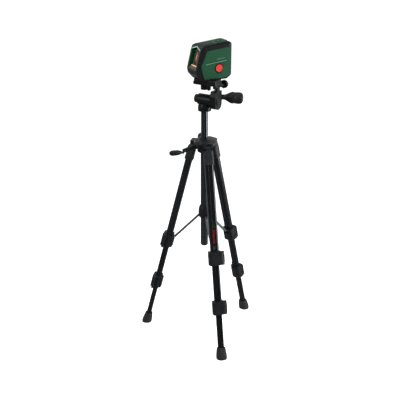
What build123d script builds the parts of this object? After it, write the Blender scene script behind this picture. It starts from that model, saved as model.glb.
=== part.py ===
from build123d import *
from math import sin, cos, tan, radians, pi, sqrt, hypot, atan2
import os

os.makedirs("parts", exist_ok=True)

# ---------------------------------------------------------------------------
# Self-levelling line laser on a three-leg telescopic tripod.
# Millimetres, +Z up, floor at z = 0. The laser's window looks along -Y.
# The origin is the middle of the whole object's footprint on the floor, and
# the centre column stands at (axis_x, axis_y). Azimuths are in degrees,
# counterclockwise from +X seen from above.
# ---------------------------------------------------------------------------

# --- shared fits ------------------------------------------------------------
run = 0.05              # radial running clearance
fit = 0.02              # clearance of a fixed joint
pin_r = 3.0             # hinge pins, crank shaft and lock screws

# --- column, hinges and crank drive -----------------------------------------
axis_x = -31.974
axis_y = -21.515
leg_azimuths = {"a": -12.0, "b": 108.0, "c": 228.0}
leg_a = leg_azimuths["a"]
lock_azimuth = leg_a + 180      # column lock, opposite leg a
crank_azimuth = leg_a + 270     # crank shaft, square to leg a
lock_z = 691.0

hinge_r = 37.0          # leg hinge pin, distance from the column axis
hinge_z = 675.0
splay = 14.3            # leg angle from the vertical, legs open

column_r = 11.5
column_bore_r = 9.5
column_bottom = 419.0
column_top = 788.8
spigot_r = 8.0          # stub on the column that carries the head
guide_r = 12.5          # tube around the column
guide_top = 664.9

rack_module = 1.25
pinion_teeth = 12
pinion_r = rack_module * pinion_teeth / 2
pinion_axis_r = 17.75
pinion_axis_z = 677.0
pinion_half = 2.2       # half the pinion's face width
shaft_start = -7.0      # distances along the shaft from the middle of the pinion
shaft_end = 47.0
rack_pitch_r = pinion_axis_r - pinion_r

# --- legs: sizes are (width along the tangent, depth), spans are distances
# --- down the leg from the hinge pin ----------------------------------------
leg_len = 696.6         # hinge pin to the floor along the leg
leg_shift = 1.3         # the sections sit this far outside the hinge pin's line
upper_size, upper_bore, upper_span = (28.0, 22.1), (24.8, 18.9), (14.2, 366.0)
mid_size, mid_bore, mid_span = (24.2, 18.4), (21.2, 15.4), (160.0, 531.0)
lower_size, lower_bore, lower_span = (20.4, 14.8), (17.6, 12.0), (300.0, 674.0)
corner_ratio = 0.40     # corner radius over section depth
tongue_half = 7.4       # half the width of the hinge tongue

# --- leg clamps -------------------------------------------------------------
clamp_len = 45.0
lug_len = 8.8           # lever lug, along the leg
lug_r = 4.7
trunnion_r = 2.0
lever_len = 40.0
clamps = {
    "upper": dict(
        centre=360.0, held=upper_size, sliding=mid_size,
        held_end=upper_span[1], housing_inset=15.5, has_ear=True,
    ),
    "lower": dict(
        centre=525.0, held=mid_size, sliding=lower_size,
        held_end=mid_span[1], housing_inset=4.0, has_ear=False,
    ),
}

# --- spreader ---------------------------------------------------------------
hub_z0, hub_z1 = 423.0, 463.0       # sliding hub
hub_pivot = (20.0, 426.0)           # strut pivot on the hub: radius, height
ear_down, ear_out = 341.0, -19.0    # strut pivot on the clamp, from the hinge pin
rivet_r = 1.6
strut_w = 6.8
ear_half = 2.2                      # half the thickness of both pivot ears

# --- head -------------------------------------------------------------------
tilt_azimuth = 31.0     # direction of the tilt barrel
tilt_z = 825.0
tilt_shaft_r = 7.0
head_z0 = 789.0
head_r = 21.3
arm_start = 30.0        # inner face of the tilt arm, from the column axis
arm_thick = 21.5
flip_at = (47.0, 872.0)     # platform hinge pin: distance along the azimuth, height
knuckle_r = 4.8
plate_z0, plate_z1 = 877.0, 892.9
plate_offset = (10.5, 0)    # middle of the plate, x along the tilt azimuth
camera_screw_r = 3.1

# --- laser: y and z from the column axis and the floor ----------------------
laser_half_w = 33.5
laser_z0 = 893.0
well_y, well_w, well_d = 22.0, 56.0, 66.0   # bottom opening for the base plate
button_at = (33.7, 928.7)   # (y, z) on the +X side
button_r = 12.1
slot_at = (30.0, 940.0)     # (y, z) of the switch slot on the -X side
switch_at = (26.0, 940.0)
seat_x = 31.4               # floor of the side panel seats
door_pivot = (77.4, 915.2)  # (y, z)
door_pin_r = 1.2
gimbal_y, gimbal_z = 12.0, 972.0
gimbal_pin_r = 1.5
board_y = 36.0


# ---------------------------------------------------------------------------
# planes
# ---------------------------------------------------------------------------
def outward(azimuth):
    return Vector(cos(radians(azimuth)), sin(radians(azimuth)), 0)


def tangent(azimuth):
    return Vector(-sin(radians(azimuth)), cos(radians(azimuth)), 0)


AXIS = Vector(axis_x, axis_y, 0)
UP = Vector(0, 0, 1)


def level(z, azimuth=0.0):
    """Horizontal plane on the column axis; x points along the azimuth."""
    return Plane(origin=AXIS + UP * z, x_dir=outward(azimuth), z_dir=(0, 0, 1))


def side(azimuth, shift=0.0):
    """Vertical plane along the azimuth: x outward, y up, normal clockwise."""
    normal = tangent(azimuth) * -1
    return Plane(origin=AXIS + normal * shift, x_dir=outward(azimuth), z_dir=normal)


def across(azimuth, reach=0.0, left=0.0, z=0.0):
    """Plane whose normal is the azimuth direction: x to the left of it, y up."""
    return Plane(
        origin=AXIS + outward(azimuth) * reach + tangent(azimuth) * left + UP * z,
        x_dir=tangent(azimuth),
        z_dir=outward(azimuth),
    )


def leg_axes(azimuth):
    """Hinge point, then the directions down the leg, out of it and along the pin."""
    angle = radians(splay)
    down = outward(azimuth) * sin(angle) - UP * cos(angle)
    out = outward(azimuth) * cos(angle) + UP * sin(angle)
    hinge = AXIS + outward(azimuth) * hinge_r + UP * hinge_z
    return hinge, down, out, tangent(azimuth)


def leg_cut(azimuth, distance):
    """Plane square across the leg: x tangential, y outward, normal down the leg."""
    hinge, down, out, along_pin = leg_axes(azimuth)
    return Plane(
        origin=hinge + down * distance + out * leg_shift, x_dir=along_pin, z_dir=down
    )


def leg_side(azimuth):
    """Plane along the leg, on the hinge: x outward, y down the leg, normal tangential."""
    hinge, _, out, along_pin = leg_axes(azimuth)
    return Plane(origin=hinge, x_dir=out, z_dir=along_pin)


def leg_face(azimuth, distance, height):
    """Plane parallel to the outer face: x tangential, y up the leg, normal outward."""
    hinge, down, out, along_pin = leg_axes(azimuth)
    return Plane(
        origin=hinge + down * distance + out * (height + leg_shift),
        x_dir=along_pin, z_dir=out,
    )


# planes square to the crank shaft, the column lock screw and the tilt barrel
drive = across(crank_azimuth, left=pinion_axis_r, z=pinion_axis_z)
lock = across(lock_azimuth, z=lock_z)
tilt = across(tilt_azimuth, z=tilt_z)


# ---------------------------------------------------------------------------
# profiles and export
# ---------------------------------------------------------------------------
def tube_profile(width, depth, grow=0.0):
    """Rounded leg section with a shallow flute down its inner and outer faces."""
    RectangleRounded(width + 2 * grow, depth + 2 * grow, depth * corner_ratio)
    with Locations((0, depth / 2 + grow), (0, -depth / 2 - grow)):
        Rectangle(width * 0.36, 1.4, mode=Mode.SUBTRACT)


def ribbed(radius, count, rib):
    """Round knob outline with ribs."""
    Circle(radius - rib * 0.55)
    with PolarLocations(radius - rib, count):
        Circle(rib)


def round_corners(view, rounding):
    """Fillet the sketch corners nearest to each (x, y, radius) entry."""
    for x, y, radius in rounding:
        fillet(view.vertices().sort_by_distance(Vector(x, y, 0))[0], radius=radius)


def export(builder, name):
    builder.part.label = name
    export_step(builder.part, "parts/" + name + ".step")


# ---------------------------------------------------------------------------
# shoulder casting: hub, three clevis lobes, collar and crank boss
# ---------------------------------------------------------------------------
shoulder_z0, shoulder_z1 = 652.0, 690.0
shoulder_bore_z0 = 640.0    # the bores start below the casting
lobe_z0 = 666.2
lobe_half = 15.5

with BuildPart() as shoulder:
    with BuildSketch(level(shoulder_z0)):
        Circle(23)
    extrude(amount=shoulder_z1 - shoulder_z0)
    with BuildSketch(level(689)):
        Circle(18)
    extrude(amount=11, taper=6)
    # domed deck between the lobes
    with BuildSketch(side(0)):
        with BuildLine():
            Polyline((0, 680), (36.0, 680), (37.5, 681.5), (37.5, 686))
            Spline((37.5, 686), (34.5, 689.6), (27.0, 692.4), (17.0, 694.4))
            Polyline((17.0, 694.4), (0, 694.4), (0, 680))
        make_face()
    revolve(axis=Axis(AXIS, UP))
    # flat that keeps the deck clear of the column lock knob
    with BuildSketch(lock.offset(26.5)):
        Rectangle(31, 40)
    extrude(amount=20, mode=Mode.SUBTRACT)
    for azimuth in leg_azimuths.values():
        with BuildSketch(side(azimuth)):
            with Locations((23.5, (lobe_z0 + shoulder_z1) / 2)):
                Rectangle(27, shoulder_z1 - lobe_z0)
            with Locations((hinge_r, hinge_z)):
                Circle(8.8)
            with Locations((39.5, 685.0)):
                Rectangle(9, 10)
        extrude(amount=lobe_half, both=True)
    # crank shaft boss
    with BuildSketch(drive.offset(9)):
        Circle(9.5)
    extrude(amount=27)
    # column lock boss
    with BuildSketch(lock.offset(14)):
        Circle(8.0)
    extrude(amount=14)
    # slots for the leg tongues, and the hinge pin bores
    for azimuth in leg_azimuths.values():
        with BuildSketch(side(azimuth)):
            with Locations((45, 662.5)):
                Rectangle(33, 45)
        extrude(amount=tongue_half + 0.3, both=True, mode=Mode.SUBTRACT)
        with BuildSketch(side(azimuth)):
            with Locations((hinge_r, hinge_z)):
                Circle(pin_r + fit)
        extrude(amount=30, both=True, mode=Mode.SUBTRACT)
    # guide tube seat and column bore
    for radius, depth in ((guide_r + fit, 25), (column_r + run, 80)):
        with BuildSketch(level(shoulder_bore_z0)):
            Circle(radius)
        extrude(amount=depth, mode=Mode.SUBTRACT)
    # pinion pocket and shaft bore
    with BuildSketch(drive):
        Circle(9.2)
    extrude(amount=pinion_half + 0.5, both=True, mode=Mode.SUBTRACT)
    with BuildSketch(drive.offset(shaft_start - 0.5)):
        Circle(pin_r + run)
    extrude(amount=60, mode=Mode.SUBTRACT)
    # lock screw bore
    with BuildSketch(lock.offset(8)):
        Circle(pin_r + run)
    extrude(amount=40, mode=Mode.SUBTRACT)
export(shoulder, "shoulder")

with BuildPart() as leg_pins:
    for azimuth in leg_azimuths.values():
        with BuildSketch(side(azimuth)):
            with Locations((hinge_r, hinge_z)):
                Circle(pin_r)
        extrude(amount=lobe_half + 0.1, both=True)
        # a head on each end
        for k in (-1, 1):
            with BuildSketch(side(azimuth, k * lobe_half)):
                with Locations((hinge_r, hinge_z)):
                    Circle(4.6)
            extrude(amount=1.6 * k)
export(leg_pins, "leg_pins")

# guide tube the column runs down inside, closed at its tapered bottom end
with BuildPart() as guide_tube:
    with BuildSketch(side(0)):
        with BuildLine():
            Polyline(
                (0, 320),
                (9.5, 320),
                (guide_r, 324),
                (guide_r, guide_top),
                (column_r + run, guide_top),
                (column_r + run, 331),
                (0, 331),
                close=True,
            )
        make_face()
    revolve(axis=Axis(AXIS, UP))
export(guide_tube, "guide_tube")

# ---------------------------------------------------------------------------
# spreader: sliding hub and three struts
# ---------------------------------------------------------------------------
with BuildPart() as spreader_hub:
    with BuildSketch(side(0)):
        with BuildLine():
            Polyline((guide_r + run, hub_z0), (17.0, hub_z0))
            Spline(
                (17.0, hub_z0),
                (19.2, 431),
                (19.6, 444),
                (18.2, 456),
                (15.2, hub_z1),
            )
            Polyline((15.2, hub_z1), (guide_r + run, hub_z1), (guide_r + run, hub_z0))
        make_face()
    revolve(axis=Axis(AXIS, UP))
    for azimuth in leg_azimuths.values():
        # notch for the strut's end
        with BuildSketch(side(azimuth)):
            with Locations((21, 426)):
                Rectangle(13, 13)
        extrude(amount=4.5, both=True, mode=Mode.SUBTRACT)
        # ear and pin in the notch
        with BuildSketch(side(azimuth)):
            with Locations((16.5, 426.4)):
                Rectangle(6, 6.8)
            with Locations(hub_pivot):
                Circle(3.3)
        extrude(amount=ear_half, both=True)
        with BuildSketch(side(azimuth)):
            with Locations(hub_pivot):
                Circle(rivet_r)
        extrude(amount=4.3, both=True)
export(spreader_hub, "spreader_hub")

# strut from the hub pivot out and down to the ear on the upper clamp
splay_angle = radians(splay)
strut_reach = (
    hinge_r + ear_down * sin(splay_angle) + ear_out * cos(splay_angle) - hub_pivot[0]
)
strut_drop = hub_pivot[1] - (
    hinge_z - ear_down * cos(splay_angle) + ear_out * sin(splay_angle)
)
strut_len = hypot(strut_reach, strut_drop)
strut_angle = atan2(strut_reach, strut_drop)    # radians from straight down
strut_inner_half = 2.45


def make_strut(azimuth):
    """U-section strut: two tines joined by a web, rivet heads at the leg end."""
    along = outward(azimuth) * sin(strut_angle) - UP * cos(strut_angle)
    lift = outward(azimuth) * cos(strut_angle) + UP * sin(strut_angle)
    pivot = AXIS + outward(azimuth) * hub_pivot[0] + UP * hub_pivot[1]
    plane = Plane(origin=pivot, x_dir=along, z_dir=along.cross(lift))
    with BuildPart() as strut:
        with BuildSketch(plane):
            with Locations((strut_len / 2, 0)):
                SlotOverall(strut_len + strut_w, strut_w)
            Circle(rivet_r + run, mode=Mode.SUBTRACT)
        extrude(amount=3.9, both=True)
        # hollow under the web
        with BuildSketch(plane):
            with Locations((strut_len / 2, -1.2)):
                Rectangle(strut_len + 12, strut_w)
        extrude(amount=strut_inner_half, both=True, mode=Mode.SUBTRACT)
        # the web stops short of both ends
        with BuildSketch(plane):
            Rectangle(12, 12)
            with Locations((strut_len, 0)):
                Rectangle(26, 12)
        extrude(amount=strut_inner_half, both=True, mode=Mode.SUBTRACT)
        for k in (-1, 1):
            with BuildSketch(plane.offset(3.8 * k)):
                with Locations((strut_len, 0)):
                    Circle(2.3)
            extrude(amount=0.9 * k)
    return strut


# ---------------------------------------------------------------------------
# legs
# ---------------------------------------------------------------------------
def make_socket(azimuth):
    """Top fitting of a leg: stepped sleeve with the hinge tongue."""
    with BuildPart() as socket:
        # start down the leg, length, width, depth, corner radius
        for start, length, width, depth, corner in (
            (10, 8, 31.4, 27.2, 9),
            (18, 30, 31.9, 27.8, 9),
            (48, 6, 33.0, 28.8, 9.5),
        ):
            with BuildSketch(leg_cut(azimuth, start)):
                RectangleRounded(width, depth, corner)
            extrude(amount=length)
        # hinge tongue
        with BuildSketch(leg_side(azimuth)):
            Circle(7.5)
            with Locations((0, 6.5)):
                Rectangle(15, 13)
        extrude(amount=tongue_half, both=True)
        # tube pocket
        with BuildSketch(leg_cut(azimuth, 14)):
            tube_profile(*upper_size, fit)
        extrude(amount=45, mode=Mode.SUBTRACT)
        # hinge bore
        with BuildSketch(leg_side(azimuth)):
            Circle(pin_r + run)
        extrude(amount=20, both=True, mode=Mode.SUBTRACT)
        # moulded window on the outer face
        with BuildSketch(leg_face(azimuth, 34, 12.7)):
            RectangleRounded(13, 9, 1.5)
        extrude(amount=4, mode=Mode.SUBTRACT)
    return socket


def make_tube(azimuth, size, bore, span):
    with BuildPart() as tube:
        with BuildSketch(leg_cut(azimuth, span[0])):
            tube_profile(*size)
            RectangleRounded(*bore, bore[1] * corner_ratio, mode=Mode.SUBTRACT)
        extrude(amount=span[1] - span[0])
    return tube


def lever_pivot(held):
    """Lever axis beside the held tube, in a leg_cut plane."""
    return held[0] / 2 + 10.4, held[1] / 2 - 1.7


def make_clamp(azimuth, centre, held, sliding, held_end, housing_inset, has_ear):
    """Moulded leg clamp: collar, two hinge lugs and the housing behind."""
    half_w, half_d = held[0] / 2, held[1] / 2
    pivot_x, pivot_y = lever_pivot(held)
    start, end = centre - clamp_len / 2, centre + clamp_len / 2
    with BuildPart() as clamp:
        with BuildSketch(leg_cut(azimuth, start)):
            with Locations((-1.0, 0.35)):
                RectangleRounded(held[0] + 12, held[1] + 6.8, 5.0)
        extrude(amount=clamp_len)
        # screw housing behind the leg
        with BuildSketch(leg_cut(azimuth, start + housing_inset)):
            with Locations((-0.5, -half_d - 4.0)):
                RectangleRounded(held[0] - 1, 9.0, 3.6)
        extrude(amount=clamp_len - housing_inset - 2.0)
        # hinge lugs for the lever
        for lug_start in (start, end - lug_len):
            with BuildSketch(leg_cut(azimuth, lug_start)):
                with Locations((pivot_x, pivot_y)):
                    Circle(lug_r)
                with Locations(((half_w + 1 + pivot_x) / 2, pivot_y)):
                    Rectangle(pivot_x - half_w - 1, 2 * lug_r)
            extrude(amount=lug_len)
        # lever trunnion holes, open on the inner side of each lug
        with BuildSketch(leg_cut(azimuth, start + 2.5)):
            with Locations((pivot_x, pivot_y)):
                Circle(trunnion_r + run)
        extrude(amount=clamp_len - 5.0, mode=Mode.SUBTRACT)
        # room for the lever's eye between the lugs
        with BuildSketch(leg_cut(azimuth, start + lug_len)):
            with Locations((pivot_x, pivot_y)):
                Circle(5.3)
        extrude(amount=clamp_len - 2 * lug_len, mode=Mode.SUBTRACT)
        # pocket for the held tube and passage for the sliding one
        with BuildSketch(leg_cut(azimuth, start - 1)):
            tube_profile(*held, fit)
        extrude(amount=held_end + fit - start + 1, mode=Mode.SUBTRACT)
        with BuildSketch(leg_cut(azimuth, start - 1)):
            RectangleRounded(sliding[0] + 0.5, sliding[1] + 0.5, sliding[1] * corner_ratio)
        extrude(amount=clamp_len + 2, mode=Mode.SUBTRACT)
        # slit in the outer face, on the side away from the lugs
        with BuildSketch(leg_face(azimuth, centre + 6, half_d + 1.0)):
            with Locations((-half_w * 0.55, 0)):
                SlotOverall(14, 1.6, rotation=90)
        extrude(amount=4, mode=Mode.SUBTRACT)
        if has_ear:
            # ear that carries the spreader strut
            wall = half_d - leg_shift + 1.2
            with BuildSketch(leg_side(azimuth)):
                with Locations((ear_out, ear_down)):
                    Circle(3.9)
                with Locations(((ear_out - wall) / 2, ear_down)):
                    Rectangle(-ear_out - wall, strut_w)
            extrude(amount=ear_half, both=True)
    return clamp


def make_lever(azimuth, centre, held):
    """Clamp lever: eye with trunnions, plate over the outer face, finger lip."""
    half_w = held[0] / 2
    pivot_x, pivot_y = lever_pivot(held)
    plate_y = held[1] / 2 + 4.4
    with BuildPart() as lever:
        with BuildSketch(leg_cut(azimuth, centre - lever_len / 2)):
            with BuildLine():
                Polyline(
                    (pivot_x - 2.0, plate_y), (-half_w - 6.0, plate_y),
                    (-half_w - 8.2, plate_y - 3.0),
                )
                Polyline((-half_w - 8.2, plate_y - 3.0), (-half_w - 9.6, plate_y - 1.2))
                Spline(
                    (-half_w - 9.6, plate_y - 1.2),
                    (-half_w - 5.0, plate_y + 3.4),
                    (0, plate_y + 4.6),
                    (pivot_x - 4.0, plate_y + 3.2),
                    (pivot_x + 1.5, plate_y),
                )
                Line((pivot_x + 1.5, plate_y), (pivot_x - 2.0, plate_y))
            make_face()
        extrude(amount=lever_len)
        # eye and its web, between the lugs
        with BuildSketch(leg_cut(azimuth, centre - 13.4)):
            with Locations((pivot_x, pivot_y)):
                Circle(4.6)
            with Locations((pivot_x - 0.6, (pivot_y + plate_y + 1.5) / 2)):
                Rectangle(8.0, plate_y + 1.5 - pivot_y)
        extrude(amount=26.8)
        with BuildSketch(leg_cut(azimuth, centre - 19.6)):
            with Locations((pivot_x, pivot_y)):
                Circle(trunnion_r)
        extrude(amount=39.2)
    return lever


# foot lofts: distance above the leg's end, width, depth, corner radius
foot_boot = ((36, 27.5, 22.5, 9), (29, 30.0, 25.5, 10.5), (10, 34.6, 31.6, 14))
foot_sole = ((10, 34.6, 31.6, 14), (3, 35.0, 32.0, 14.5), (-8, 31.5, 28.5, 13))
foot_mouth = leg_len - 37


def make_foot(azimuth):
    """Rubber foot: flared boot around the lowest tube, cut flat at the floor."""
    with BuildPart() as foot:
        for stations in (foot_boot, foot_sole):
            for above, width, depth, corner in stations:
                with BuildSketch(leg_cut(azimuth, leg_len - above)):
                    RectangleRounded(width, depth, corner)
            loft()
        # groove around the boot
        with BuildSketch(leg_cut(azimuth, leg_len - 24)):
            RectangleRounded(60, 60, 10)
            RectangleRounded(30.5, 26.8, 12, mode=Mode.SUBTRACT)
        extrude(amount=2, mode=Mode.SUBTRACT)
        # socket for the tube
        with BuildSketch(leg_cut(azimuth, foot_mouth)):
            tube_profile(*lower_size, fit)
        extrude(amount=lower_span[1] - foot_mouth + fit, mode=Mode.SUBTRACT)
        split(bisect_by=Plane(origin=(0, 0, 0), z_dir=(0, 0, 1)), keep=Keep.TOP)
    return foot


for tag, azimuth in leg_azimuths.items():
    export(make_socket(azimuth), "socket_" + tag)
    export(make_tube(azimuth, upper_size, upper_bore, upper_span), "upper_tube_" + tag)
    export(make_tube(azimuth, mid_size, mid_bore, mid_span), "mid_tube_" + tag)
    export(make_tube(azimuth, lower_size, lower_bore, lower_span), "lower_tube_" + tag)
    for place, clamp in clamps.items():
        export(make_clamp(azimuth, **clamp), "clamp_" + place + "_" + tag)
        lever = make_lever(azimuth, clamp["centre"], clamp["held"])
        export(lever, "lever_" + place + "_" + tag)
    export(make_foot(azimuth), "foot_" + tag)
    export(make_strut(azimuth), "strut_" + tag)

# ---------------------------------------------------------------------------
# centre column and its rack
# ---------------------------------------------------------------------------
with BuildPart() as column_tube:
    with BuildSketch(side(0)):
        with BuildLine():
            Polyline(
                (column_bore_r, column_bottom),
                (column_r, column_bottom),
                (column_r, column_top),
                (spigot_r, column_top),
                (spigot_r, 806.0),
                (0, 806.0),
                (0, 777.5),
                (column_bore_r, 777.5),
                close=True,
            )
        make_face()
    revolve(axis=Axis(AXIS, UP))
    # slot the rack shows through
    with BuildSketch(side(leg_a)):
        with Locations((12, 637)):
            Rectangle(8, 278)
    extrude(amount=2.6, both=True, mode=Mode.SUBTRACT)
export(column_tube, "column_tube")

pressure_angle = radians(20)
pitch = pi * rack_module
half_tooth = pitch / 4 - 0.14       # at the pitch line, less backlash
addendum, dedendum = 0.8, 1.25      # of the rack
rack_z0, rack_z1 = 499.0, 775.5
rack_back_r = 7.2
rack_root_r = rack_pitch_r - dedendum
rack_tip_r = rack_pitch_r + addendum
root_half = half_tooth + dedendum * tan(pressure_angle)
tip_half = half_tooth - addendum * tan(pressure_angle)
first_tooth = int((500 - pinion_axis_z) / pitch)
last_tooth = int((774 - pinion_axis_z) / pitch) - 1

rack_outline = [(rack_back_r, rack_z0), (rack_root_r, rack_z0)]
for n in range(first_tooth, last_tooth + 1):
    tooth_z = pinion_axis_z + (n + 0.5) * pitch
    rack_outline += [
        (rack_root_r, tooth_z - root_half),
        (rack_tip_r, tooth_z - tip_half),
        (rack_tip_r, tooth_z + tip_half),
        (rack_root_r, tooth_z + root_half),
    ]
rack_outline += [(rack_root_r, rack_z1), (rack_back_r, rack_z1)]

with BuildPart() as column_rack:
    with BuildSketch(side(leg_a)):
        with BuildLine():
            Polyline(*rack_outline, close=True)
        make_face()
    extrude(amount=2.4, both=True)
    # wider backing strip inside the column
    with BuildSketch(side(leg_a)):
        with Locations((rack_back_r + 0.65, (rack_z0 + rack_z1) / 2)):
            Rectangle(1.3, rack_z1 - rack_z0)
    extrude(amount=4.0, both=True)
export(column_rack, "column_rack")


# ---------------------------------------------------------------------------
# crank drive
# ---------------------------------------------------------------------------
def involute_tooth(centre_angle):
    """Outline of one pinion tooth from root to root, counterclockwise."""
    base = pinion_r * cos(pressure_angle)
    tip = pinion_r + 1.0
    root = pinion_r - 1.15
    base_half_angle = half_tooth / pinion_r + tan(pressure_angle) - pressure_angle
    flank = [(root, base_half_angle + 0.02)]    # radius, angle from the tooth's middle
    for k in range(7):
        radius = base + (tip - base) * k / 6
        roll = atan2(sqrt(radius * radius - base * base), base)
        flank.append((radius, base_half_angle - (tan(roll) - roll)))
    polar = [(radius, centre_angle - angle) for radius, angle in flank]
    polar += [(radius, centre_angle + angle) for radius, angle in reversed(flank)]
    return [(radius * cos(angle), radius * sin(angle)) for radius, angle in polar]


# the drive plane's x points to leg a, so the column lies along its -x
pinion_outline = []
for n in range(pinion_teeth):
    pinion_outline += involute_tooth(pi + 2 * pi * n / pinion_teeth)

with BuildPart() as crank_pinion:
    with BuildSketch(drive):
        with BuildLine():
            Polyline(*pinion_outline, close=True)
        make_face()
    extrude(amount=pinion_half, both=True)
    with BuildSketch(drive.offset(shaft_start)):
        Circle(pin_r)
    extrude(amount=shaft_end - shaft_start)
    # thin collar on the pinion's outer face
    with BuildSketch(drive.offset(pinion_half)):
        Circle(4.6)
    extrude(amount=0.4)
export(crank_pinion, "crank_pinion")

# crank arm plane: x along the arm, slightly downhill, normal along the shaft
arm = Plane(
    origin=drive.origin,
    x_dir=(outward(leg_a) * 30 - UP * 6).normalized(),
    z_dir=outward(crank_azimuth),
)
knob_reach = 30.8       # shaft to knob pin
knob_pin_r = 2.5

with BuildPart() as crank_arm:
    # hub over the shaft end
    with BuildSketch(drive.offset(37.5)):
        Circle(8.0)
    with BuildSketch(drive.offset(48.5)):
        Circle(7.0)
    loft()
    # flat arm, slanting outward towards the knob
    with BuildSketch(
        Plane(origin=arm.origin, x_dir=arm.x_dir, z_dir=arm.x_dir.cross(arm.z_dir))
    ):
        with BuildLine():
            # x along the arm, y away from the shoulder
            Polyline(
                (0, 39.5), (4, 39.5), (24.0, 78.0), (35.5, 82.5),
                (35.5, 88.0), (21.5, 84.5), (2.5, 48.0), (0, 48.0),
                close=True,
            )
        make_face()
    extrude(amount=6.5, both=True)
    # taper in the arm's own plane
    with BuildSketch(arm.offset(30)):
        with BuildLine():
            Polyline(
                (-9, -8), (4, -8), (knob_reach, -5.4), (36.0, -3.0),
                (36.0, 3.0), (knob_reach, 5.4), (4, 8), (-9, 8), close=True,
            )
        make_face()
    extrude(amount=60, mode=Mode.INTERSECT)
    # knob pin
    with BuildSketch(arm.offset(84)):
        with Locations((knob_reach, 0)):
            Circle(knob_pin_r)
    extrude(amount=42.5)
    # shaft bore
    with BuildSketch(drive.offset(30)):
        Circle(pin_r + fit)
    extrude(amount=shaft_end + fit - 30, mode=Mode.SUBTRACT)
export(crank_arm, "crank_arm")

knob_origin = arm.origin + arm.x_dir * knob_reach
knob_bore_r = knob_pin_r + run
with BuildPart() as crank_knob:
    # half section: x along the pin, y the radius
    with BuildSketch(
        Plane(origin=knob_origin, x_dir=arm.z_dir, z_dir=arm.x_dir.cross(arm.z_dir))
    ):
        with BuildLine():
            Polyline((89.2, knob_bore_r), (89.2, 5.0), (92.0, 5.6))
            Spline((92.0, 5.6), (99.0, 8.0), (112.0, 8.8), (123.0, 8.2), (128.5, 5.0))
            Polyline(
                (128.5, 5.0), (128.5, 0), (127.2, 0),
                (127.2, knob_bore_r), (89.2, knob_bore_r),
            )
        make_face()
    revolve(axis=Axis(knob_origin, outward(crank_azimuth)))
export(crank_knob, "crank_knob")

with BuildPart() as column_lock_knob:
    with BuildSketch(lock.offset(29.5)):
        ribbed(12.0, 10, 2.6)
    extrude(amount=13.5)
    with BuildSketch(lock.offset(43)):
        Circle(9.0)
    extrude(amount=2.0, taper=20)
    # screw and collar
    for start, radius, length in ((12.2, pin_r, 20), (28.4, 7.0, 2)):
        with BuildSketch(lock.offset(start)):
            Circle(radius)
        extrude(amount=length)
export(column_lock_knob, "column_lock_knob")

# ---------------------------------------------------------------------------
# pan and tilt head
# ---------------------------------------------------------------------------
with BuildPart() as head_base:
    with BuildSketch(level(head_z0)):
        Circle(head_r)
    extrude(amount=14)
    with BuildSketch(level(head_z0 + 14)):
        Circle(head_r)
    extrude(amount=10, taper=14)
    # tilt barrel
    with BuildSketch(tilt.offset(-20)):
        Circle(17.5)
    extrude(amount=49.5)
    # groove around the skirt
    with BuildSketch(level(793.5)):
        Circle(30)
        Circle(20.5, mode=Mode.SUBTRACT)
    extrude(amount=1.2, mode=Mode.SUBTRACT)
    # spigot and tilt shaft bores
    with BuildSketch(level(780)):
        Circle(spigot_r + run)
    extrude(amount=26.5, mode=Mode.SUBTRACT)
    with BuildSketch(tilt.offset(-30)):
        Circle(tilt_shaft_r + run)
    extrude(amount=80, mode=Mode.SUBTRACT)
export(head_base, "head_base")

with BuildPart() as tilt_lock_knob:
    with BuildSketch(tilt.offset(-32)):
        ribbed(13.5, 12, 2.6)
    extrude(amount=11.6)
    with BuildSketch(tilt.offset(-32)):
        Circle(9.5)
    extrude(amount=-1.6, taper=20)
    with BuildSketch(tilt.offset(-21)):
        Circle(pin_r)
    extrude(amount=16.0)
export(tilt_lock_knob, "tilt_lock_knob")

handle_azimuth = 78.0
handle_droop = radians(8.0)
handle_dir = outward(handle_azimuth) * cos(handle_droop) - UP * sin(handle_droop)
handle_root = (
    AXIS + outward(tilt_azimuth) * 43.0 + tangent(tilt_azimuth) * 19.0 + UP * 835.0
)
handle_x = UP.cross(handle_dir).normalized()
stem_r = 4.0


def handle_plane(distance):
    """Plane square across the pan handle, at a distance from its root."""
    return Plane(origin=handle_root + handle_dir * distance, x_dir=handle_x, z_dir=handle_dir)


with BuildPart() as tilt_arm:
    with BuildSketch(across(tilt_azimuth, arm_start)):
        with BuildLine():
            Line((-20, 842), (-20, 818))
            ThreePointArc((-20, 818), (0, 798), (20, 818))
            Polyline((20, 818), (20, 855), (18, 857), (-11, 857), (-13, 855), (-20, 842))
        make_face()
    extrude(amount=arm_thick)
    # knuckle for the platform hinge
    with BuildSketch(side(tilt_azimuth)):
        with Locations((flip_at[0] - 0.4, 864)):
            Rectangle(8.8, 16)
        with Locations(flip_at):
            Circle(knuckle_r)
    extrude(amount=8.5, both=True)
    with BuildSketch(side(tilt_azimuth)):
        with Locations(flip_at):
            Circle(pin_r + run)
    extrude(amount=20, both=True, mode=Mode.SUBTRACT)
    # tilt shaft through the barrel, bored for the lock screw
    with BuildSketch(tilt.offset(-19.4)):
        Circle(tilt_shaft_r)
    extrude(amount=50)
    with BuildSketch(tilt.offset(-20)):
        Circle(pin_r + run)
    extrude(amount=17, mode=Mode.SUBTRACT)
    # round cap boss on the outer face
    with BuildSketch(tilt.offset(arm_start + arm_thick)):
        Circle(15)
    extrude(amount=2.5, taper=18)
    # boss the handle screws into
    with BuildSketch(handle_plane(-10)):
        Circle(8.0)
    extrude(amount=19)
    with BuildSketch(handle_plane(-8)):
        Circle(stem_r + run)
    extrude(amount=20, mode=Mode.SUBTRACT)
export(tilt_arm, "tilt_arm")

# grip lofts: distance from the handle's root, radius
grip_neck = ((9.3, 8.6), (21, 9.4), (35, 16.2), (46, 18.9))
grip_end = ((46, 18.9), (68, 18.6), (74, 16.8), (76, 13.0))

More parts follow.
